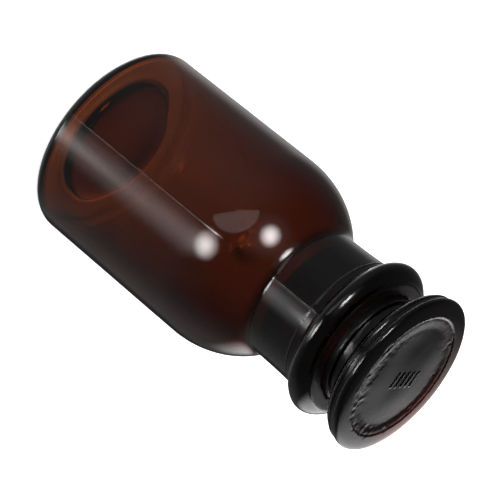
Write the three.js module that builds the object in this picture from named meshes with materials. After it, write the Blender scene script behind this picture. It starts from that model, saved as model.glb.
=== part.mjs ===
// Wide-mouth reagent bottle of amber glass with a ground, flat-headed glass stopper.
//
// Millimetres, +Z up. The origin is the centre of the base, on the plane that the bottle stands on.
// Two loose pieces make up the object: the blown bottle and the solid pressed stopper. Both are
// bodies of revolution about Z, so each is one turned profile, listed from the axis on the underside
// round the outside and back to the axis.

import * as THREE from 'three';

// ---- Driving dimensions: bottle ----
const BODY_R = 28;                // outside radius of the straight wall
const WALL = 2.6;                 // thickness of the straight wall
const BASE_THICKNESS = 3.2;       // glass under the contents
const PUSH_UP = 1.6;              // how far the middle of the base is domed upwards
const DOME_CROWN = 0.6;           // how much of the dome's radius its flat crown takes
const BEARING_IN_R = 19.5;        // inner edge of the flat ring that the bottle stands on
const BEARING_OUT_R = 25.6;       // outer edge of that ring, where the heel starts
const HEEL_H = 2.8;               // height of the rounded heel
const SHOULDER_Z = 50.7;          // where the straight wall ends
const SHOULDER_RADIAL = 23.45;    // semi-axes of the elliptical shoulder
const SHOULDER_AXIAL = 25.8;
const SHOULDER_THICKENING = 1.3;  // walls taken off the inside's radial semi-axis
const NECK_FOOT_R = 18.5;         // outside radius at the foot of the neck
const NECK_FOOT_Z = 73;           // where the hollow fillet has become the neck
const NECK_FILLET = 3.6;          // radius of the hollow fillet between shoulder and neck
const NECK_TOP_R = 19.1;          // outside radius of the neck under the collar
const COLLAR_FOOT_Z = 88.1;
const COLLAR_MID_Z = 91.6;
const COLLAR_R = 22.5;            // greatest radius of the collar
const COLLAR_RADIAL = 11.2;       // semi-axes of the collar's blunt elliptical bulge
const COLLAR_AXIAL = 5.07;
const LIP_Z = 95.5;               // ground top face of the mouth
const LIP_EDGE = 0.5;             // ground bevel at the mouth's inner edge

// ---- Driving dimensions: ground joint ----
const JOINT_SLOPE = 0.05;         // radius lost per millimetre of depth, a 1 in 10 taper
const SOCKET_TOP_R = 15.6;        // socket radius at the lip
const SOCKET_DEPTH = 24.5;        // ground length of the socket
const JOINT_GAP = 0.3;            // clearance all round, where real ground faces touch
const NECK_INSIDE_R = 15.3;       // plain bore between the socket and the shoulder

// ---- Driving dimensions: stopper ----
const PLUG_DEPTH = 22;            // length of the plug below the lip
const PLUG_EDGE = 1.4;            // rounding of the plug's lower edge
const PLUG_DISH = 0.8;            // shallow hollow in the plug's end
const PLUG_STANDOUT = 1.4;        // ground cone left showing above the lip
const WAIST_R = 14.4;             // narrowest part, between plug and head
const HEAD_R = 22.6;              // outside radius of the flat head
const HEAD_UNDER_Z = 102;
const HEAD_TOP_Z = 108;
const HEAD_SIDE_R = 22;           // side of the head, below the bead round its top
const HEAD_LOWER_RADIAL = 3;      // semi-axes of the head's rounded lower edge
const HEAD_LOWER_AXIAL = 2.6;
const BEAD_FOOT_Z = 106;
const BEAD_MID_Z = 107.05;        // where the bead is widest
const CROWN_RADIAL = 4.6;         // radial semi-axis of the bead's rounding into the top
const RIM_IN_R = 17.8;            // inner edge of the low rim round the top face
const RIM_H = 0.35;               // how far the top face lies below that rim

// ---- How finely the curves are divided ----
const TURN_STEPS = 48;
const CURVE_STEPS = 4;
const SHOULDER_STEPS = 7;

const QUARTER = Math.PI / 2;
const point = (radius, z) => new THREE.Vector2(radius, z);

// Points on an axis-aligned ellipse, both ends included.
function ellipseArc(centre, radial, axial, from, to, steps) {
  const points = [];
  for (let i = 0; i <= steps; i += 1) {
    const angle = from + ((to - from) * i) / steps;
    points.push(point(centre.x + radial * Math.cos(angle), centre.y + axial * Math.sin(angle)));
  }
  return points;
}

// A smooth curve from one point to another that leaves and arrives heading for the corner.
function blend(start, corner, end, steps) {
  return new THREE.QuadraticBezierCurve(start, corner, end).getPoints(steps);
}

// Height on an ellipse centred at midZ where its radius has fallen to the given one.
function heightAtRadius(radius, maxRadius, radial, axial, midZ) {
  const inward = (radius - (maxRadius - radial)) / radial;
  return midZ + axial * Math.sqrt(1 - inward * inward);
}

function socketRadius(z) {
  return SOCKET_TOP_R - JOINT_SLOPE * (LIP_Z - z);
}

// ---- Bottle ----

// The domed middle of the base at the given level, from its rim in to the axis.
function domedDisc(z) {
  const crown = point(BEARING_IN_R * DOME_CROWN, z + PUSH_UP);
  return blend(point(BEARING_IN_R, z), crown, point(0, z + PUSH_UP), CURVE_STEPS);
}

function baseAndHeel() {
  const dome = domedDisc(0).reverse();
  const heelCentre = point(BEARING_OUT_R, HEEL_H);
  const heel = ellipseArc(heelCentre, BODY_R - BEARING_OUT_R, HEEL_H, -QUARTER, 0, CURVE_STEPS);
  return [...dome, ...heel];
}

function shoulderAndNeck() {
  const crestR = BODY_R - SHOULDER_RADIAL;
  const filletStart = NECK_FOOT_R + NECK_FILLET * (1 - Math.SQRT1_2);
  const lastAngle = Math.acos((filletStart - crestR) / SHOULDER_RADIAL);
  const centre = point(crestR, SHOULDER_Z);
  const shoulder = ellipseArc(centre, SHOULDER_RADIAL, SHOULDER_AXIAL, 0, lastAngle, SHOULDER_STEPS);
  const end = shoulder[shoulder.length - 1];
  const tangent = point(-SHOULDER_RADIAL * Math.sin(lastAngle), SHOULDER_AXIAL * Math.cos(lastAngle));
  const reach = (NECK_FOOT_R - end.x) / tangent.x;
  const corner = point(NECK_FOOT_R, end.y + tangent.y * reach);
  const fillet = blend(end, corner, point(NECK_FOOT_R, NECK_FOOT_Z), CURVE_STEPS / 2);
  return [...shoulder, ...fillet.slice(1), point(NECK_TOP_R, COLLAR_FOOT_Z)];
}

function collarAndLip() {
  const centre = point(COLLAR_R - COLLAR_RADIAL, COLLAR_MID_Z);
  const foot = Math.acos((NECK_TOP_R + LIP_EDGE - centre.x) / COLLAR_RADIAL);
  const top = Math.asin((LIP_Z - COLLAR_MID_Z) / COLLAR_AXIAL);
  const bulge = ellipseArc(centre, COLLAR_RADIAL, COLLAR_AXIAL, -foot, top, CURVE_STEPS * 2);
  const bevelTop = point(SOCKET_TOP_R + LIP_EDGE, LIP_Z);
  const bevelFoot = point(socketRadius(LIP_Z - LIP_EDGE), LIP_Z - LIP_EDGE);
  return [...bulge, bevelTop, bevelFoot];
}

function inside() {
  const insideR = BODY_R - WALL;
  const socketFootZ = LIP_Z - SOCKET_DEPTH;
  const radial = SHOULDER_RADIAL - SHOULDER_THICKENING * WALL;
  const axial = SHOULDER_AXIAL - WALL;
  const neckZ = heightAtRadius(NECK_INSIDE_R, insideR, radial, axial, SHOULDER_Z);
  const lastAngle = Math.asin((neckZ - SHOULDER_Z) / axial);
  const shoulderCentre = point(insideR - radial, SHOULDER_Z);
  const shoulder = ellipseArc(shoulderCentre, radial, axial, lastAngle, 0, SHOULDER_STEPS);
  const floorEdgeR = BEARING_OUT_R - WALL;
  const heelCentre = point(floorEdgeR, BASE_THICKNESS + HEEL_H);
  const heel = ellipseArc(heelCentre, insideR - floorEdgeR, HEEL_H, 0, -QUARTER, CURVE_STEPS);
  return [point(socketRadius(socketFootZ), socketFootZ), ...shoulder, ...heel, ...domedDisc(BASE_THICKNESS)];
}

function bottleProfile() {
  return [...baseAndHeel(), ...shoulderAndNeck(), ...collarAndLip(), ...inside()];
}

// ---- Stopper ----
function plugProfile() {
  const tipZ = LIP_Z - PLUG_DEPTH;
  const plugRadius = (z) => socketRadius(z) - JOINT_GAP;
  const edgeZ = tipZ + PLUG_EDGE;
  const edgeR = plugRadius(edgeZ);
  const dishZ = tipZ + PLUG_DISH;
  const edgeCentre = point(edgeR - PLUG_EDGE, edgeZ);
  const dish = blend(point(0, dishZ), point(edgeR / 2, dishZ), point(edgeCentre.x, tipZ), CURVE_STEPS / 2);
  const edge = ellipseArc(edgeCentre, PLUG_EDGE, PLUG_EDGE, -QUARTER, 0, CURVE_STEPS / 2);
  const coneTopZ = LIP_Z + PLUG_STANDOUT;
  return [...dish.slice(0, -1), ...edge, point(plugRadius(coneTopZ), coneTopZ)];
}

function waistProfile() {
  const coneTopZ = LIP_Z + PLUG_STANDOUT;
  const coneTopR = socketRadius(coneTopZ) - JOINT_GAP;
  const middleZ = (coneTopZ + HEAD_UNDER_Z) / 2;
  const waist = point(WAIST_R, middleZ);
  const inwardCorner = point(WAIST_R, coneTopZ + PLUG_EDGE);
  const inward = blend(point(coneTopR, coneTopZ), inwardCorner, waist, CURVE_STEPS / 2);
  const flareEnd = point(HEAD_SIDE_R - HEAD_LOWER_RADIAL, HEAD_UNDER_Z);
  const outward = blend(waist, point(WAIST_R, HEAD_UNDER_Z), flareEnd, CURVE_STEPS);
  return [...inward.slice(1), ...outward.slice(1, -1)];
}

function headProfile() {
  const lowerCentre = point(HEAD_SIDE_R - HEAD_LOWER_RADIAL, HEAD_UNDER_Z + HEAD_LOWER_AXIAL);
  const lower = ellipseArc(lowerCentre, HEAD_LOWER_RADIAL, HEAD_LOWER_AXIAL, -QUARTER, 0, CURVE_STEPS);
  const beadCentre = point(HEAD_SIDE_R, BEAD_MID_Z);
  const beadRadial = HEAD_R - HEAD_SIDE_R;
  const beadAxial = BEAD_MID_Z - BEAD_FOOT_Z;
  const bead = ellipseArc(beadCentre, beadRadial, beadAxial, -QUARTER, 0, CURVE_STEPS / 2);
  const crownCentre = point(HEAD_R - CROWN_RADIAL, BEAD_MID_Z);
  const crown = ellipseArc(crownCentre, CROWN_RADIAL, HEAD_TOP_Z - BEAD_MID_Z, 0, QUARTER, CURVE_STEPS);
  const rimFoot = point(RIM_IN_R - RIM_H, HEAD_TOP_Z - RIM_H);
  return [...lower, ...bead, ...crown, point(RIM_IN_R, HEAD_TOP_Z), rimFoot, point(0, HEAD_TOP_Z - RIM_H)];
}

function stopperProfile() {
  return [...plugProfile(), ...waistProfile(), ...headProfile()];
}

// ---- Solids, materials and assembly ----
function withoutRepeats(points) {
  const apart = 1e-4;
  return points.filter((p, i) => i === 0 || p.distanceTo(points[i - 1]) > apart);
}

function turned(profile) {
  const solid = new THREE.LatheGeometry(withoutRepeats(profile), TURN_STEPS);
  solid.rotateX(QUARTER);
  return solid;
}

function amberGlass(colour, roughness) {
  return new THREE.MeshStandardMaterial({ color: colour, roughness, metalness: 0 });
}

function piece(name, profile, material) {
  const mesh = new THREE.Mesh(turned(profile), material);
  mesh.name = name;
  return mesh;
}

const reagentBottle = new THREE.Group();
reagentBottle.add(
  piece('bottle', bottleProfile(), amberGlass(0x4a2413, 0.08)),
  piece('stopper', stopperProfile(), amberGlass(0x33241f, 0.12)),
);

export default reagentBottle;
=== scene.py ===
"""Looks of the amber glass reagent bottle and its ground, flat-headed stopper.

Metres, +Z up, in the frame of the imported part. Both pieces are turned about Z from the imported
part's own sizes, finer than the CAD solids, with what a turned profile can't hold added as small
moves of the surface: mould seams, the moulded ring on the neck, uneven walls, the worn mouth, and
the moulded face of the stopper.
"""

import math

import bpy
from mathutils import Matrix, Vector, noise


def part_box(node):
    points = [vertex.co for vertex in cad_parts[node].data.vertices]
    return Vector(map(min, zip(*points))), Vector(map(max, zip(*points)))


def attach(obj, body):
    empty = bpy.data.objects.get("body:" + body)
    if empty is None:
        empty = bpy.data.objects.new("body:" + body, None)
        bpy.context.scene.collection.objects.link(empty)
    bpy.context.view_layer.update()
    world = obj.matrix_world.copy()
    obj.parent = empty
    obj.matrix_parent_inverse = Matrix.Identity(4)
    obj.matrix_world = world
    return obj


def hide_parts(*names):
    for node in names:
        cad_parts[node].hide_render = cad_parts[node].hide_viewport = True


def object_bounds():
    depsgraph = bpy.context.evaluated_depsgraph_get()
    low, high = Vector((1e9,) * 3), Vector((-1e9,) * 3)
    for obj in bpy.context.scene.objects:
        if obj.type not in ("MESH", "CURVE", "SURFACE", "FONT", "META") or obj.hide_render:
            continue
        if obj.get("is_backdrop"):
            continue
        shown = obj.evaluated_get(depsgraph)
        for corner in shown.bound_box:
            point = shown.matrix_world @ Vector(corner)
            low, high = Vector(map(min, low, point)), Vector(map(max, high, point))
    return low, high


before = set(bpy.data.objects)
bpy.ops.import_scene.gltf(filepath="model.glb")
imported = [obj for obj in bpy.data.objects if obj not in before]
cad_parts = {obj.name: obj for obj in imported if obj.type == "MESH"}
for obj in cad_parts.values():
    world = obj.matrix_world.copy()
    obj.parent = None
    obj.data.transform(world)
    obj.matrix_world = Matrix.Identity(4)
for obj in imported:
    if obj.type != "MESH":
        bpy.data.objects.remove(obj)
cad_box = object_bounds()

MM = 0.001
FULL_TURN = 2 * math.pi
QUARTER = math.pi / 2

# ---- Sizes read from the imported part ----
bottle_low, bottle_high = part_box("bottle")
stopper_low, stopper_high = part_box("stopper")
BODY_R = bottle_high.x
LIP_Z = bottle_high.z
PLUG_TIP_Z = stopper_low.z
HEAD_R = stopper_high.x
HEAD_TOP_Z = stopper_high.z

# ---- Sizes of the bottle ----
WALL = 2.6 * MM
WALL_TAPER = 0.3 * MM
BASE_THICKNESS = 2.8 * MM
PLATE_EDGE_WIDTH = 8.0 * MM
PUSH_UP = 1.6 * MM
DOME_CROWN = 0.6
BEARING_IN_R = 19.5 * MM
BEARING_OUT_R = 25.6 * MM
HEEL_H = 2.8 * MM
HEEL_GLASS = 1.8 * MM
HEEL_THINNING_Z = 15 * MM
GROOVE_IN_R = 19.3 * MM
# the step from the groove up to the plate: how far in it stands, and its part of the plate's height
STEP_FOOT = 1.0 * MM
STEP_MIDDLE = 1.7 * MM
STEP_MIDDLE_RISE = 0.65
STEP_HEAD = 2.5 * MM
STEP_HEAD_RISE = 0.95
SHOULDER_Z = 50.7 * MM
SHOULDER_RADIAL = 23.45 * MM
SHOULDER_AXIAL = 25.8 * MM
SHOULDER_THICKENING = 1.3
NECK_FOOT_R = 18.5 * MM
NECK_FOOT_Z = 73.0 * MM
NECK_FILLET = 3.6 * MM
NECK_TOP_R = 19.1 * MM
COLLAR_FOOT_Z = 88.1 * MM
COLLAR_MID_Z = 91.6 * MM
COLLAR_R = 22.5 * MM
COLLAR_RADIAL = 11.2 * MM
COLLAR_AXIAL = 5.07 * MM
LIP_ROUND = 0.45 * MM
MOUTH_EDGE_STEPS = 5
SOCKET_TOP_R = 15.6 * MM
SOCKET_FOOT_Z = LIP_Z - 24.5 * MM
SOCKET_FOOT_ROUND = 0.5 * MM
JOINT_SLOPE = 0.05
NECK_INSIDE_R = 15.3 * MM

# ---- Sizes of the stopper ----
JOINT_GAP = 0.12 * MM
PLUG_EDGE = 1.4 * MM
PLUG_DISH = 0.8 * MM
PLUG_STANDOUT = 1.4 * MM
WAIST_R = 14.4 * MM
SHELF_WIDTH = 0.3 * MM
SHELF_RISE = 0.6 * MM
SHELF_LEAN = 0.1 * MM
HEAD_UNDER_Z = 102.0 * MM
HEAD_LOWER_RADIAL = 3.0 * MM
HEAD_LOWER_AXIAL = 2.6 * MM
HEAD_SIDE_R = 21.8 * MM
BEAD_ROUND = 1.0 * MM
BEAD_MID_Z = 106.6 * MM
BEAD_FIRST = math.radians(-72)
BEAD_LAST = math.radians(72)
CROWN_WIDTH = 0.9 * MM
PARTING_Z = 104.3 * MM
PARTING_HEIGHT = 0.30 * MM
PARTING_WIDTH = 0.55 * MM
RIM_IN_R = 17.8 * MM
RIM_H = 0.22 * MM

# ---- Marks of moulding and wear ----
SEAM_ANGLE = math.radians(-86.5)
SEAM_HEIGHT = 0.045 * MM
SEAM_WIDTH = 0.36 * MM
SEAM_LOST = 0.8
SEAM_LOST_FROM = (54 * MM, 62 * MM)
SEAM_LOST_TO = (70 * MM, 74 * MM)
NECK_RING_Z = 86.0 * MM
NECK_RING_HEIGHT = 0.15 * MM
NECK_RING_WIDTH = 0.30 * MM
MOUTH_WEAR = 0.6 * MM
MOUTH_WEAR_DEPTH = 1.2 * MM
MOUTH_WEAR_WIDTH = 3 * MM
CHIP_LENGTH = 1.6 * MM
CHIP_SHARE = 0.15
# how matt the heel and the stopper's waist are, where ground glass is 1
HEEL_SCUFF = 0.3
WAIST_MATT = 0.5

# uneven surfaces, each by its height and the length of its waves
SKIN = (0.035 * MM, 17 * MM)
INSIDE_SLOW = (0.28 * MM, 24 * MM)
INSIDE_QUICK = (0.07 * MM, 8 * MM)
HEAD_SKIN = (0.05 * MM, 9 * MM)
FACE_SWELL = (0.16 * MM, 12 * MM)
FACE_PEEL = (0.12 * MM, 1.7 * MM)
FACE_FINE_PEEL = (0.06 * MM, 0.8 * MM)
AXIS_FADE = 4 * MM

# the stopper's top face: its hollow, where its peeled ring starts and ends, and its patches
FACE_HOLLOW = 0.25 * MM
FACE_EDGE = (14 * MM, 17 * MM)
PEEL_FROM = (11 * MM, 16.5 * MM)
PEEL_TO = (17.6 * MM, 19.0 * MM)
PATCH_LENGTH = 6 * MM
PATCH_CUT = (-0.05, 0.35)
PATCH_LEAST = 0.15
PATCH_LEAN = 0.7
PATCH_REACH = 50 * MM
FACE_REACH = 2 * MM

# the mark on the stopper's top face, a row of bars
MARK_BARS = 5
MARK_FIRST = Vector((1.8, -2.2)) * MM
MARK_STEP = Vector((-0.8, 2.0)) * MM
MARK_BAR = Vector((3.8, 0.6)) * MM
MARK_FLAT = 0.15 * MM
MARK_EDGE = 0.55 * MM
MARK_HEIGHT = 0.20 * MM

# where the glass was blown thin on the shoulder: the place inside, its reach and its depth
THIN_SPOT = Vector((-0.4, -21.5, 63.0)) * MM
THIN_REACH = 4.5 * MM
THIN_DEPTH = 1.1 * MM


# ---- Outlines ----
def ellipse_arc(centre_r, centre_z, radial, axial, start, end, steps):
    """Points on an axis-aligned ellipse, both ends included."""
    turns = [start + (end - start) * i / steps for i in range(steps + 1)]
    return [(centre_r + radial * math.cos(a), centre_z + axial * math.sin(a)) for a in turns]


def blend(start, corner, end, steps):
    """A smooth curve that leaves start towards the corner and reaches end from it."""
    points = []
    for i in range(steps + 1):
        t = i / steps
        weights = ((1 - t) ** 2, 2 * t * (1 - t), t * t)
        weighted = list(zip(weights, (start, corner, end)))
        points.append(tuple(sum(w * p[k] for w, p in weighted) for k in (0, 1)))
    return points


def line(start, end, steps):
    """Evenly spaced points from start to end."""
    return [tuple(start[k] + (end[k] - start[k]) * i / steps for k in (0, 1)) for i in range(steps + 1)]


def joined(*parts):
    """One outline from several, without the points where they meet twice."""
    outline = []
    for part in parts:
        for point in part:
            if not outline or math.dist(point, outline[-1]) > 0.005 * MM:
                outline.append(point)
    return outline


def socket_radius(z):
    """The ground socket's taper, which runs on past the lip for the plug."""
    return SOCKET_TOP_R - JOINT_SLOPE * (LIP_Z - z)


def domed_disc(z, steps):
    """The domed middle of the base, from the axis out to its rim."""
    crown = (BEARING_IN_R * DOME_CROWN, z + PUSH_UP)
    return blend((0, z + PUSH_UP), crown, (BEARING_IN_R, z), steps)


def bottle_outside():
    """From the middle of the underside up to the mouth's inner edge."""
    heel = ellipse_arc(BEARING_OUT_R, HEEL_H, BODY_R - BEARING_OUT_R, HEEL_H, -QUARTER, 0, 14)
    wall = line((BODY_R, HEEL_H), (BODY_R, SHOULDER_Z), 30)
    crest_r = BODY_R - SHOULDER_RADIAL
    fillet_r = NECK_FOOT_R + NECK_FILLET / 2
    last = math.acos((fillet_r - crest_r) / SHOULDER_RADIAL)
    shoulder = ellipse_arc(crest_r, SHOULDER_Z, SHOULDER_RADIAL, SHOULDER_AXIAL, 0, last, 36)
    end = shoulder[-1]
    slope = -SHOULDER_AXIAL * math.cos(last) / (SHOULDER_RADIAL * math.sin(last))
    corner = (NECK_FOOT_R, end[1] + slope * (NECK_FOOT_R - end[0]))
    neck_foot = (NECK_FOOT_R, NECK_FOOT_Z)
    fillet = blend(end, corner, neck_foot, 10)
    straight_z = (NECK_FOOT_Z + COLLAR_FOOT_Z) / 2
    neck = blend(neck_foot, (NECK_FOOT_R, straight_z), (NECK_TOP_R, COLLAR_FOOT_Z), 96)
    return joined(domed_disc(0, 12), line((BEARING_IN_R, 0), (BEARING_OUT_R, 0), 4), heel, wall,
                  shoulder, fillet, neck, collar(), lip())


def collar():
    """The round bead below the lip."""
    centre_r = COLLAR_R - COLLAR_RADIAL
    foot = math.acos((NECK_TOP_R + LIP_ROUND - centre_r) / COLLAR_RADIAL)
    top = math.asin((LIP_Z - LIP_ROUND - COLLAR_MID_Z) / COLLAR_AXIAL)
    return ellipse_arc(centre_r, COLLAR_MID_Z, COLLAR_RADIAL, COLLAR_AXIAL, -foot, top, 34)


def lip():
    """The ground top face, from the collar's last point to the mouth's inner edge."""
    outer = collar()[-1]
    inner_r = SOCKET_TOP_R
    edge = blend(outer, (outer[0] - LIP_ROUND / 2, LIP_Z), (outer[0] - 2 * LIP_ROUND, LIP_Z), 5)
    face = line(edge[-1], (inner_r + LIP_ROUND, LIP_Z), 6)
    socket_top = (socket_radius(LIP_Z - LIP_ROUND), LIP_Z - LIP_ROUND)
    round_in = blend(face[-1], (inner_r, LIP_Z), socket_top, MOUTH_EDGE_STEPS)
    return edge + face[1:] + round_in[1:]


def bottle_inside():
    """From the mouth down the socket and the wall to the middle of the base."""
    inside_r = BODY_R - WALL - WALL_TAPER
    lower_r = BODY_R - WALL + WALL_TAPER
    radial = SHOULDER_RADIAL - SHOULDER_THICKENING * WALL
    axial = SHOULDER_AXIAL - WALL
    inward = (NECK_INSIDE_R - (inside_r - radial)) / radial
    last = math.acos(inward)
    shoulder = ellipse_arc(inside_r - radial, SHOULDER_Z, radial, axial, last, 0, 44)
    socket_top = (socket_radius(LIP_Z - LIP_ROUND), LIP_Z - LIP_ROUND)
    socket_foot = (socket_radius(SOCKET_FOOT_Z), SOCKET_FOOT_Z)
    socket = line(socket_top, socket_foot, 40)
    widening = blend(socket_foot, (NECK_INSIDE_R, SOCKET_FOOT_Z - SOCKET_FOOT_ROUND), shoulder[0], 8)
    wall = line((inside_r, SHOULDER_Z), (lower_r, HEEL_THINNING_Z), 28)
    heel_r = BODY_R - HEEL_GLASS
    heel_z = HEEL_H + HEEL_GLASS / 2
    thinning = blend((lower_r, HEEL_THINNING_Z), (lower_r, 2 * heel_z), (heel_r, heel_z), 14)
    groove_r = BEARING_OUT_R - HEEL_GLASS
    heel = ellipse_arc(groove_r, heel_z, heel_r - groove_r, heel_z - HEEL_GLASS, 0, -QUARTER, 12)
    groove = line((groove_r, HEEL_GLASS), (GROOVE_IN_R, HEEL_GLASS), 3)
    crown_z = BASE_THICKNESS + PUSH_UP
    middle = (GROOVE_IN_R - STEP_MIDDLE, STEP_MIDDLE_RISE * crown_z)
    step_up = blend(groove[-1], (GROOVE_IN_R - STEP_FOOT, HEEL_GLASS), middle, 9)
    edge_r = GROOVE_IN_R - PLATE_EDGE_WIDTH
    step_head = (GROOVE_IN_R - STEP_HEAD, STEP_HEAD_RISE * crown_z)
    step_in = blend(middle, step_head, (edge_r, crown_z), 12)
    plate = line(step_in[-1], (0, crown_z), 10)
    base = heel + groove[1:] + step_up[1:] + step_in[1:] + plate[1:]
    return joined(socket, widening, shoulder, wall, thinning, base)


def plug_r(z):
    """The plug's radius, a gap inside the socket's."""
    return socket_radius(z) - JOINT_GAP


def stopper_outline():
    """From the middle of the plug's end up to the middle of the top face."""
    edge_z = PLUG_TIP_Z + PLUG_EDGE
    edge_r = plug_r(edge_z)
    dish_z = PLUG_TIP_Z + PLUG_DISH
    dish = blend((0, dish_z), (edge_r / 2, dish_z), (edge_r - PLUG_EDGE, PLUG_TIP_Z), 12)
    edge = ellipse_arc(edge_r - PLUG_EDGE, edge_z, PLUG_EDGE, PLUG_EDGE, -QUARTER, 0, 8)
    cone_top = (plug_r(LIP_Z + PLUG_STANDOUT), LIP_Z + PLUG_STANDOUT)
    cone = line((edge_r, edge_z), cone_top, 44)
    middle_z = (cone_top[1] + HEAD_UNDER_Z) / 2
    waist = (WAIST_R, middle_z)
    shelf = (WAIST_R + SHELF_WIDTH, cone_top[1] + SHELF_RISE)
    over_cone = blend(cone_top, (cone_top[0] - SHELF_LEAN, shelf[1]), shelf, 6)
    inward = over_cone + blend(shelf, (WAIST_R, shelf[1]), waist, 6)
    under_r = HEAD_SIDE_R - HEAD_LOWER_RADIAL
    flare = blend(waist, (WAIST_R, HEAD_UNDER_Z), (under_r, HEAD_UNDER_Z), 16)
    lower_z = HEAD_UNDER_Z + HEAD_LOWER_AXIAL
    lower = ellipse_arc(under_r, lower_z, HEAD_LOWER_RADIAL, HEAD_LOWER_AXIAL, -QUARTER, 0, 20)
    bead_r = HEAD_R - BEAD_ROUND
    bead = ellipse_arc(bead_r, BEAD_MID_Z, BEAD_ROUND, BEAD_ROUND, BEAD_FIRST, BEAD_LAST, 26)
    side = line((HEAD_SIDE_R, lower_z), (HEAD_SIDE_R, bead[0][1]), 8)
    bead_end = bead[-1]
    crown_foot = (bead_end[0] - CROWN_WIDTH, bead_end[1] + CROWN_WIDTH / math.tan(BEAD_LAST))
    crown = blend(bead_end, crown_foot, (RIM_IN_R + RIM_H, HEAD_TOP_Z), 24)
    rim = lower + side[1:] + bead + crown[1:]
    face_z = HEAD_TOP_Z - RIM_H
    step = blend((RIM_IN_R + RIM_H, HEAD_TOP_Z), (RIM_IN_R, HEAD_TOP_Z), (RIM_IN_R - RIM_H, face_z), 6)
    face = line(step[-1], (0, face_z), 72)
    return joined(dish, edge, cone, inward, flare, rim, step, face)


# ---- Small moves of the surface ----
def bump(distance, width):
    """1 on the line, falling smoothly to 0 at the given distance."""
    x = abs(distance) / width
    return 0.0 if x >= 1 else 0.5 + 0.5 * math.cos(math.pi * x)


def smooth_step(low, high, value):
    """0 below low, 1 above high, with a soft change between them."""
    t = min(max((value - low) / (high - low), 0.0), 1.0)
    return t * t * (3 - 2 * t)


def wave(position, length, seed):
    """Soft noise between about -1 and 1, over about the given length."""
    return noise.noise(position / length + Vector((seed, 0, 0)))


def uneven(position, kind, seed):
    """Soft noise of one of the uneven surfaces above."""
    height, length = kind
    return height * wave(position, length, seed)


def seam(angle, radius):
    """Height of the two mould seams, on opposite sides of the bottle."""
    apart = math.remainder(angle - SEAM_ANGLE, math.pi)
    return SEAM_HEIGHT * bump(apart * radius, SEAM_WIDTH)


def chips(place):
    """How far the mouth's worn inner edge stands back from a true circle."""
    across = 1 - smooth_step(SOCKET_TOP_R, SOCKET_TOP_R + MOUTH_WEAR_WIDTH, place.xy.length)
    around_edge = bump(place.z - LIP_Z, MOUTH_WEAR_DEPTH) * across
    return MOUTH_WEAR * around_edge * max(wave(place, CHIP_LENGTH, 7.7) + CHIP_SHARE, 0.0)


def outside_move(radius, z, angle):
    """How far the moulded outside stands out from its true circle."""
    place = Vector((radius * math.cos(angle), radius * math.sin(angle), z))
    above_heel = smooth_step(0.5 * HEEL_H, 1.5 * HEEL_H, z)
    below_lip = 1 - smooth_step(COLLAR_FOOT_Z - 1 * MM, COLLAR_FOOT_Z + 3 * MM, z)
    skin = uneven(place, SKIN, 3.1) * above_heel
    ring = NECK_RING_HEIGHT * bump(z - NECK_RING_Z, NECK_RING_WIDTH)
    on_shoulder = smooth_step(*SEAM_LOST_FROM, z) * (1 - smooth_step(*SEAM_LOST_TO, z))
    shown = above_heel * below_lip * (1 - SEAM_LOST * on_shoulder)
    return skin + ring + seam(angle, radius) * shown + chips(place)


def inside_move(radius, z, angle):
    """How far the blown inside stands in from its true circle."""
    place = Vector((radius * math.cos(angle), radius * math.sin(angle), z))
    blown = 1 - smooth_step(SOCKET_FOOT_Z - 8 * MM, SOCKET_FOOT_Z - 1 * MM, z)
    thickness = uneven(place, INSIDE_SLOW, 8.7) + uneven(place, INSIDE_QUICK, 1.9)
    thin = THIN_DEPTH * bump((place - THIN_SPOT).length, THIN_REACH)
    return thickness * blown - thin - chips(place)


# ---- Solids ----
def turn_angles(steps, seam_radius):
    """Angles round the piece, closer together where a seam runs along it."""
    angles = [FULL_TURN * i / steps for i in range(steps)]
    offsets = [k * SEAM_WIDTH / 3 / seam_radius for k in range(-4, 5)]
    for side in (0, math.pi):
        centre = (SEAM_ANGLE + side) % FULL_TURN
        reach = offsets[-1] + FULL_TURN / steps / 3
        angles = [a for a in angles if abs(math.remainder(a - centre, FULL_TURN)) > reach]
        angles += [(centre + o) % FULL_TURN for o in offsets]
    return sorted(angles)


def turned_mesh(name, outline, angles, place, is_ground):
    """A closed body turned from an outline that starts and ends on the axis."""
    count = len(angles)
    rows = outline[1:-1]
    points = [place(*outline[0], 0.0)]
    ground = [is_ground(*outline[0])]
    for radius, z in rows:
        points += [place(radius, z, angle) for angle in angles]
        ground += [is_ground(radius, z)] * count
    points.append(place(*outline[-1], 0.0))
    ground.append(is_ground(*outline[-1]))
    last = len(points) - 1
    first_of_last_row = 1 + (len(rows) - 1) * count
    faces = []
    for j in range(count):
        k = (j + 1) % count
        faces.append((0, 1 + k, 1 + j))
        for row in range(len(rows) - 1):
            low = 1 + row * count
            high = low + count
            faces.append((low + j, low + k, high + k, high + j))
        faces.append((first_of_last_row + j, first_of_last_row + k, last))
    mesh = bpy.data.meshes.new(name)
    mesh.from_pydata(points, [], faces)
    mesh.attributes.new("ground", "FLOAT", "POINT").data.foreach_set("value", ground)
    mesh.shade_smooth()
    piece = bpy.data.objects.new(name, mesh)
    bpy.context.scene.collection.objects.link(piece)
    return piece


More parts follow.
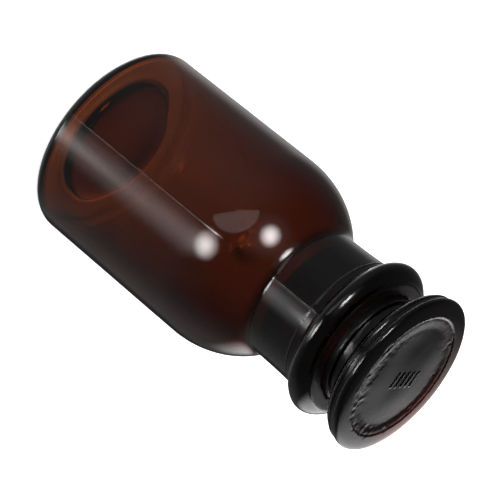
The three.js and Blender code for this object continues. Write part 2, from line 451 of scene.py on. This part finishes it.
def make_bottle():
    """The bottle as one closed body, matt where it is ground or stands."""
    outside = bottle_outside()
    inside = bottle_inside()
    outline = joined(outside, inside)
    inner_start = len(outside) - MOUTH_EDGE_STEPS - 1
    moves = {point: outside_move for point in outline[:inner_start]}
    moves.update({point: inside_move for point in outline[inner_start:]})

    def place(radius, z, angle):
        move = moves[(radius, z)]
        away = move(radius, z, angle)
        if move is inside_move:
            away = -away
        fade = min(radius / AXIS_FADE, 1.0)
        reach = radius + away * fade
        return (reach * math.cos(angle), reach * math.sin(angle), z)

    def is_ground(radius, z):
        on_lip = smooth_step(LIP_Z - 0.3 * MM, LIP_Z - 0.05 * MM, z)
        in_socket = smooth_step(SOCKET_FOOT_Z, SOCKET_FOOT_Z + 0.8 * MM, z)
        inner = 1.0 if radius < SOCKET_TOP_R + 0.1 * MM else 0.0
        stands = radius > BEARING_IN_R - 1 * MM
        on_ring = 1 - smooth_step(0.02 * MM, 0.1 * MM, z) if stands else 0.0
        low_heel = 1 - smooth_step(0.1 * HEEL_H, 1.3 * HEEL_H, z)
        scuffed = HEEL_SCUFF * low_heel if radius > BEARING_OUT_R else 0.0
        return max(on_lip, in_socket * inner, on_ring, scuffed)

    return turned_mesh("bottle_glass", outline, turn_angles(216, BODY_R), place, is_ground)


def mark_height(x, y):
    """The mould's cavity mark on the top face: a plain row of equal slanting bars."""
    raised = 0.0
    for number in range(MARK_BARS):
        middle = MARK_FIRST + number * MARK_STEP
        start = middle - MARK_BAR / 2
        along = min(max((Vector((x, y)) - start).dot(MARK_BAR) / MARK_BAR.length_squared, 0.0), 1.0)
        apart = (Vector((x, y)) - start - along * MARK_BAR).length
        raised = max(raised, 1 - smooth_step(MARK_FLAT, MARK_EDGE, apart))
    return MARK_HEIGHT * raised


def face_move(radius, x, y):
    """Rise of the stopper's top face: the mark, its soft hollow, and the peeled ring near its rim."""
    place = Vector((x, y, 0))
    near_rim = smooth_step(*PEEL_FROM, radius) * (1 - smooth_step(*PEEL_TO, radius))
    peel = uneven(place, FACE_PEEL, 4.4) + uneven(place, FACE_FINE_PEEL, 9.2)
    towards_one_side = (PATCH_LEAN * x - y) / PATCH_REACH
    patch = smooth_step(*PATCH_CUT, wave(place, PATCH_LENGTH, 2.3) + towards_one_side)
    patchy = PATCH_LEAST + (1 - PATCH_LEAST) * patch
    swell = uneven(place, FACE_SWELL, 6.6) - FACE_HOLLOW * (radius / RIM_IN_R) ** 2
    on_face = 1 - smooth_step(*FACE_EDGE, radius)
    return mark_height(x, y) + peel * near_rim * patchy + swell * on_face


def make_stopper():
    """The stopper as one closed body, matt on its ground plug and half matt on its waist."""
    lowest_face_z = HEAD_TOP_Z - RIM_H - 0.02 * MM

    def place(radius, z, angle):
        x, y = radius * math.cos(angle), radius * math.sin(angle)
        on_face = z >= lowest_face_z and radius <= RIM_IN_R + FACE_REACH
        spot = Vector((x, y, z))
        head = smooth_step(LIP_Z, HEAD_UNDER_Z, z)
        skin = uneven(spot, HEAD_SKIN, 5.5) * head * smooth_step(RIM_IN_R, HEAD_R, radius)
        on_side = radius > RIM_IN_R + 1 * MM
        ridge = PARTING_HEIGHT * bump(z - PARTING_Z, PARTING_WIDTH) if on_side else 0.0
        scale = 1 + (skin + ridge) / max(radius, 1 * MM)
        lift = face_move(radius, x, y) if on_face else 0.0
        return (x * scale, y * scale, min(z + lift, HEAD_TOP_Z))

    def is_ground(radius, z):
        below_top = 1 - smooth_step(LIP_Z + 0.6 * PLUG_STANDOUT, LIP_Z + PLUG_STANDOUT, z)
        above_tip = smooth_step(PLUG_TIP_Z + 0.5 * MM, PLUG_TIP_Z + PLUG_EDGE, z)
        below_head = 1 - smooth_step(HEAD_UNDER_Z - 1 * MM, HEAD_UNDER_Z + 0.5 * MM, z)
        on_waist = WAIST_MATT * below_head
        return max(below_top, on_waist) * above_tip

    angles = [FULL_TURN * i / 300 for i in range(300)]
    return turned_mesh("stopper_glass", stopper_outline(), angles, place, is_ground)


# ---- Materials ----
# the glass's colour, then for each piece the strength of its absorption and the roughness of its smears
AMBER = (0.69, 0.428, 0.19)
BOTTLE_GLASS = (1350.0, 0.05)
STOPPER_GLASS = (2000.0, 0.08)
GLASS_IOR = 1.52
CLEAN_ROUGHNESS = 0.012
GROUND_ROUGHNESS = 0.42
# noise scales in repeats to the metre, and the parts the ground grain and the ripple have in the relief
SMEAR_SCALE = 90.0
SMEAR_RANGE = (0.52, 0.78)
GRAIN_SCALE = 5200.0
GRAIN_PART = 0.12
RIPPLE_SCALE = 160.0
RIPPLE_PART = 0.35
RELIEF_STRENGTH = 0.35
RELIEF_HEIGHT = 0.12 * MM


def node(tree, kind, **inputs):
    """A new node with some of its inputs set or linked."""
    made = tree.nodes.new(kind)
    for name, value in inputs.items():
        socket = made.inputs[int(name[1:])] if name[0] == "i" and name[1:].isdigit() else made.inputs[name]
        if isinstance(value, bpy.types.NodeSocket):
            tree.links.new(value, socket)
        else:
            socket.default_value = value
    return made


def math_node(tree, operation, first, second=0.0):
    """The result of one sum on two numbers."""
    made = node(tree, "ShaderNodeMath", i0=first, i1=second)
    made.operation = operation
    return made.outputs[0]


def noise_node(tree, position, scale, detail=2.0):
    """Noise between 0 and 1."""
    made = node(tree, "ShaderNodeTexNoise", Vector=position, Scale=scale, Detail=detail)
    return made.outputs["Fac"]


def amber_glass(name, density, smear):
    """Amber glass: clear at the surface, coloured by its depth, matt where it is ground."""
    material = bpy.data.materials.new(name)
    material.use_nodes = True
    tree = material.node_tree
    tree.nodes.clear()
    output = tree.nodes.new("ShaderNodeOutputMaterial")
    position = tree.nodes.new("ShaderNodeTexCoord").outputs["Object"]
    ground = tree.nodes.new("ShaderNodeAttribute")
    ground.attribute_name = "ground"
    ground = ground.outputs["Fac"]

    smears = noise_node(tree, position, SMEAR_SCALE, 5.0)
    smeared = node(tree, "ShaderNodeMapRange", i0=smears, i1=SMEAR_RANGE[0], i2=SMEAR_RANGE[1],
                   i3=CLEAN_ROUGHNESS, i4=smear)
    matt = math_node(tree, "MULTIPLY", ground, GROUND_ROUGHNESS)
    roughness = math_node(tree, "ADD", smeared.outputs[0], matt)

    grain = math_node(tree, "MULTIPLY", noise_node(tree, position, GRAIN_SCALE, 3.0), ground)
    ripple = math_node(tree, "MULTIPLY", noise_node(tree, position, RIPPLE_SCALE), RIPPLE_PART)
    height = math_node(tree, "ADD", math_node(tree, "MULTIPLY", grain, GRAIN_PART), ripple)
    relief = node(tree, "ShaderNodeBump", Height=height, Strength=RELIEF_STRENGTH, Distance=RELIEF_HEIGHT)

    surface = node(tree, "ShaderNodeBsdfPrincipled", Roughness=roughness, Normal=relief.outputs[0])
    surface.inputs["IOR"].default_value = GLASS_IOR
    surface.inputs["Base Color"].default_value = (1, 1, 1, 1)
    surface.inputs["Transmission Weight"].default_value = 1.0
    depth = node(tree, "ShaderNodeVolumeAbsorption", Density=density)
    depth.inputs["Color"].default_value = (*AMBER, 1)
    tree.links.new(surface.outputs[0], output.inputs["Surface"])
    tree.links.new(depth.outputs[0], output.inputs["Volume"])
    return material


FLOOR_GLOW = 0.85


def floor_material():
    """Plain pale floor, lit from all round and a little from within, as a light table is."""
    material = bpy.data.materials.new("pale_floor")
    material.use_nodes = True
    surface = material.node_tree.nodes["Principled BSDF"]
    surface.inputs["Base Color"].default_value = (0.9, 0.9, 0.9, 1)
    surface.inputs["Roughness"].default_value = 0.9
    surface.inputs["Emission Color"].default_value = (1, 1, 1, 1)
    surface.inputs["Emission Strength"].default_value = FLOOR_GLOW
    return material


# ---- Camera, floor and light ----
CAMERA_ELEVATION = math.radians(28.40)
CAMERA_ROLL = math.radians(129.43)
CAMERA_DISTANCE = 22.86 * BODY_R
CAMERA_AIM = Vector((-0.01 * BODY_R, 0, 1.873 * BODY_R))
CAMERA_LENS = 180.6
SENSOR = 36.0


def make_camera():
    """The camera looks down along +Y, and is rolled so that the bottle lies slanting in its view."""
    back = Vector((0, -math.cos(CAMERA_ELEVATION), math.sin(CAMERA_ELEVATION)))
    right = Vector((1, 0, 0))
    up = back.cross(right)
    tilt = Matrix((right, up, back)).transposed() @ Matrix.Rotation(CAMERA_ROLL, 3, "Z")
    data = bpy.data.cameras.new("camera")
    data.lens = CAMERA_LENS
    data.sensor_width = SENSOR
    data.clip_start = 0.01
    camera = bpy.data.objects.new("camera", data)
    camera.matrix_world = Matrix.Translation(CAMERA_AIM + back * CAMERA_DISTANCE) @ tilt.to_4x4()
    bpy.context.scene.collection.objects.link(camera)
    bpy.context.scene.camera = camera


def make_floor():
    """A floor that the camera sees, but that the glass doesn't reflect or let through."""
    half = 30 * BODY_R
    corners = [(-half, -half, 0), (half, -half, 0), (half, half, 0), (-half, half, 0)]
    mesh = bpy.data.meshes.new("floor")
    mesh.from_pydata(corners, [], [(0, 1, 2, 3)])
    mesh.materials.append(floor_material())
    floor = bpy.data.objects.new("floor", mesh)
    bpy.context.scene.collection.objects.link(floor)
    floor.visible_glossy = False
    floor.visible_transmission = False
    floor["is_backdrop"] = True


def direction(azimuth, elevation):
    """Unit vector; azimuth 0 is +Y and 90 is +X, both in degrees."""
    az, el = math.radians(azimuth), math.radians(elevation)
    return Vector((math.sin(az) * math.cos(el), math.cos(az) * math.cos(el), math.sin(el)))


def soft_light(tree, towards, azimuth, elevation, inner, outer, strength):
    """A round patch of the surroundings, bright inside one angle and fading out to another."""
    centre = direction(azimuth, elevation)
    facing = node(tree, "ShaderNodeVectorMath", i0=towards, i1=centre)
    facing.operation = "DOT_PRODUCT"
    apart = math_node(tree, "ARCCOSINE", facing.outputs["Value"])
    fade = node(tree, "ShaderNodeMapRange", i0=apart,
                i1=math.radians(outer), i2=math.radians(inner), i3=0.0, i4=strength)
    fade.interpolation_type = "SMOOTHSTEP"
    return fade.outputs[0]


# azimuth, elevation, angle that is fully bright, angle where it has faded out, radiance
SOFT_LIGHTS = (
    # low beside the camera, one under another: a round highlight and a streak along the wall
    (157, -6, 0, 17, 15.5),
    (154, -15, 0, 18, 1.5),
    (151, -25, 0, 20, 0.75),
    (150, -32, 0, 22, 0.75),
    (149, -42, 0, 12, 8.0),
    # high on the camera's other side, with a faint glow round it
    (-146.5, 39, 2, 14, 17.0),
    (-146.5, 39, 8, 30, 0.3),
    # faint fill from both sides
    (-130, -8, 5, 45, 0.08),
    (65, -2, 5, 40, 0.12),
    # behind and below the bottle, seen through its body and its heel
    (-18, -33, 10, 31, 0.32),
    (-12, -52, 8, 17, 1.6),
    (-45, -58, 5, 18, 0.9),
    # a dark card, which takes light away
    (21, -30, 4, 18, -0.13),
    # reflected in the stopper's top face
    (22, 12, 10, 29, 1.9),
)
WINDOW = (-158, -4, 22, 24, 0.8)
WINDOW_SILL = (117, 50)
SILL_CUT = (0.07, 0.09)
SILL_UNEVEN = 0.16
SILL_SCALE = 34.0
ROOM = 0.07
# the lower room and the table: the heights of a direction between which each comes in, and its radiance
LOWER_ROOM = (0.3, -0.5, 0.10)
TABLE = (-0.68, -0.9, 0.35)


def half_round_window(tree, towards):
    """The upper part of a round patch, cut off along a slanting, uneven sill."""
    above = node(tree, "ShaderNodeVectorMath", i0=towards, i1=direction(*WINDOW_SILL))
    above.operation = "DOT_PRODUCT"
    ragged = math_node(tree, "MULTIPLY", noise_node(tree, towards, SILL_SCALE), SILL_UNEVEN)
    height = math_node(tree, "ADD", above.outputs["Value"], ragged)
    cut = node(tree, "ShaderNodeMapRange", i0=height, i1=SILL_CUT[0], i2=SILL_CUT[1])
    return math_node(tree, "MULTIPLY", soft_light(tree, towards, *WINDOW), cut.outputs[0])


def light_from_below(tree, height, start, full, strength):
    """Light that comes in as a direction points lower, between two of its heights."""
    fade = node(tree, "ShaderNodeMapRange", i0=height, i1=start, i2=full, i3=0.0, i4=strength)
    return fade.outputs[0]


def make_world():
    """The surroundings that the glass shows, and a white backdrop for the camera alone."""
    world = bpy.data.worlds.new("studio")
    bpy.context.scene.world = world
    world.use_nodes = True
    tree = world.node_tree
    tree.nodes.clear()
    towards = tree.nodes.new("ShaderNodeTexCoord").outputs["Generated"]
    height = node(tree, "ShaderNodeSeparateXYZ", Vector=towards).outputs["Z"]
    lower_room = light_from_below(tree, height, *LOWER_ROOM)
    table = light_from_below(tree, height, *TABLE)
    total = math_node(tree, "ADD", math_node(tree, "ADD", lower_room, table), ROOM)
    for light in SOFT_LIGHTS:
        total = math_node(tree, "ADD", total, soft_light(tree, towards, *light))
    total = math_node(tree, "ADD", total, half_round_window(tree, towards))
    room = node(tree, "ShaderNodeBackground", Strength=total)
    backdrop = node(tree, "ShaderNodeBackground", Strength=1.0)
    backdrop.inputs["Color"].default_value = (1, 1, 1, 1)
    room.inputs["Color"].default_value = (1, 1, 1, 1)
    seen = tree.nodes.new("ShaderNodeLightPath").outputs["Is Camera Ray"]
    mix = node(tree, "ShaderNodeMixShader", i0=seen, i1=room.outputs[0], i2=backdrop.outputs[0])
    output = tree.nodes.new("ShaderNodeOutputWorld")
    tree.links.new(mix.outputs[0], output.inputs["Surface"])


def make_floor_light():
    """A wide soft light overhead for the floor alone."""
    data = bpy.data.lights.new("overhead", "AREA")
    data.shape = "DISK"
    data.size = 40 * BODY_R
    data.energy = 8.0
    light = bpy.data.objects.new("overhead", data)
    light.location = (0, 0, 30 * BODY_R)
    bpy.context.scene.collection.objects.link(light)
    light.visible_camera = False
    light.visible_glossy = False
    light.visible_transmission = False


def set_up_view():
    """Plain colours, and enough bounces for light to pass through every wall of glass."""
    scene = bpy.context.scene
    scene.view_settings.view_transform = "Standard"
    scene.cycles.max_bounces = 24
    scene.cycles.transmission_bounces = 24
    scene.cycles.glossy_bounces = 16
    scene.cycles.blur_glossy = 0.2
    scene.cycles.sample_clamp_indirect = 3.0


# ---- The scene ----
make_camera()
make_floor()
make_world()
make_floor_light()
set_up_view()

bottle = make_bottle()
bottle.data.materials.append(amber_glass("bottle_amber", *BOTTLE_GLASS))
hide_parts("bottle")
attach(bottle, "bottle_body")

stopper = make_stopper()
stopper.data.materials.append(amber_glass("stopper_amber", *STOPPER_GLASS))
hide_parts("stopper")
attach(stopper, "stopper_body")

[[list(corner) for corner in box] for box in (cad_box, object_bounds())]
